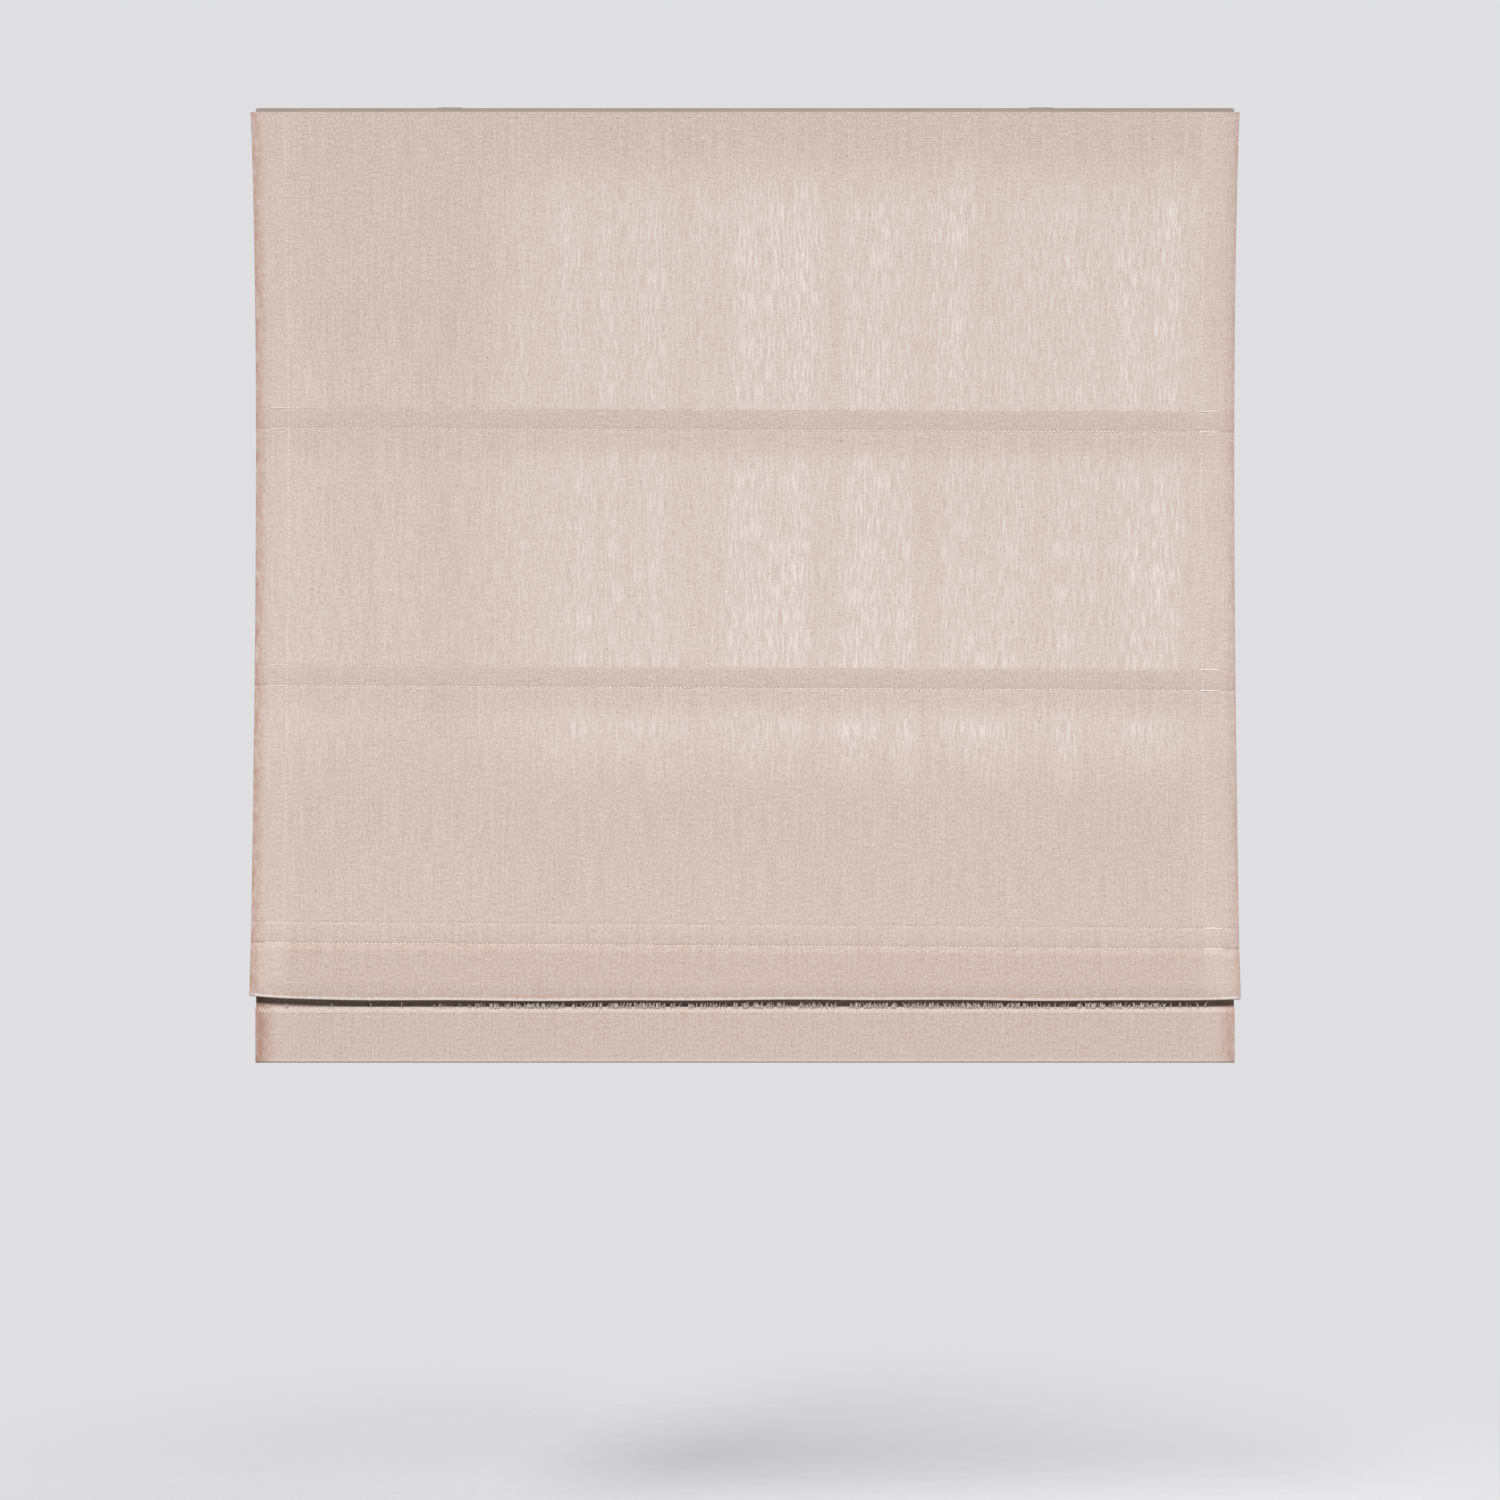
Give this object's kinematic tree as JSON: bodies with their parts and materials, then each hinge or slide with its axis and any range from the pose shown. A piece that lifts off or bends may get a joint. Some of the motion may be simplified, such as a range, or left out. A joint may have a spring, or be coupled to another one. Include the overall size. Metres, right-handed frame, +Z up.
{
  "type": "roman blind",
  "caption": "Flat linen roman blind with sewn rod pockets and a spring-lift headrail, partly raised with its lowest section folded above a weighted hem.",
  "frame": {"origin": "midway between the two bracket screws, on the brackets' top face", "axes": "+X to the right as seen from the front, -Y to the viewer, +Z up into the ceiling"},
  "size_m": [1.002, 0.0416, 0.969],
  "materials": {
    "linen": "blush linen weave",
    "loop_tape": "soft loop pile",
    "hook_tape": "fine plastic hooks",
    "cord": "braided polyester",
    "rail_paint": "beige powder coat",
    "spring_steel": "zinc plated",
    "axle_steel": "drawn",
    "bar_aluminium": "mill",
    "rod_fibre": "satin glass fibre",
    "pale_plastic": "moulded",
    "clear_plastic": "moulded",
    "dark_plastic": "moulded"
  },
  "bodies": {
    "head": {"headrail": "rail_paint", "end_cap_left": "rail_paint", "end_cap_right": "rail_paint", "bracket_left": "spring_steel", "bracket_right": "spring_steel", "hook_tape": "hook_tape", "loop_tape": "loop_tape", "spool_cradle_left": "pale_plastic", "spool_cradle_centre": "pale_plastic", "spool_cradle_right": "pale_plastic", "spring_case": "dark_plastic", "spring_lid": "dark_plastic", "lift_spring": "spring_steel", "cloth_panel_1": "linen", "lift_cords_1": "cord"},
    "axle": {"lift_axle": "axle_steel", "cord_spool_left": "dark_plastic", "cord_spool_centre": "dark_plastic", "cord_spool_right": "dark_plastic", "cord_windings": "cord", "spring_arbor": "pale_plastic"},
    "row_1": {"rod_1": "rod_fibre", "rod_plugs_1": "dark_plastic", "rod_pocket_1": "linen", "cord_rings_1": "clear_plastic", "cloth_panel_2": "linen", "lift_cords_2": "cord"},
    "row_2": {"rod_2": "rod_fibre", "rod_plugs_2": "dark_plastic", "rod_pocket_2": "linen", "cord_rings_2": "clear_plastic", "cloth_panel_3": "linen", "lift_cords_3": "cord"},
    "row_3": {"rod_3": "rod_fibre", "rod_plugs_3": "dark_plastic", "rod_pocket_3": "linen", "cord_rings_3": "clear_plastic", "cloth_bottom_fold": "linen", "lift_cords_4": "cord"},
    "hem": {"bottom_bar": "bar_aluminium", "bar_plugs": "pale_plastic", "bottom_hem": "linen", "tie_rings": "clear_plastic", "cord_adjusters": "clear_plastic"}
  },
  "joints": [
    {"name": "row_1_lift", "type": "slide", "parent": "head", "child": "row_1", "axis": [0, 0.017, 0.9999], "range_m": [0, 0.26], "deforming": ["cloth_panel_1", "lift_cords_1"]},
    {"name": "row_2_lift", "type": "slide", "parent": "row_1", "child": "row_2", "axis": [0, 0.017, 0.9999], "range_m": [0, 0.235], "deforming": ["cloth_panel_2", "lift_cords_2"]},
    {"name": "row_3_lift", "type": "slide", "parent": "row_2", "child": "row_3", "axis": [0, 0.017, 0.9999], "range_m": [0, 0.235], "deforming": ["cloth_panel_3", "lift_cords_3"]},
    {"name": "bar_lift", "type": "slide", "parent": "row_3", "child": "hem", "axis": [0, 0, 1], "range_m": [-0.083, 0.014], "deforming": ["cloth_bottom_fold", "lift_cords_4"]},
    {"name": "axle_turn", "type": "hinge", "parent": "head", "child": "axle", "pos_m": [0, -0.0006, -0.018], "axis": [1, 0, 0], "range_deg": [-140, 800], "deforming": ["lift_spring"]}
  ],
  "couplings": [
    {"joint": "axle_turn", "follows": "bar_lift", "rad_per_m": -166.67}
  ]
}
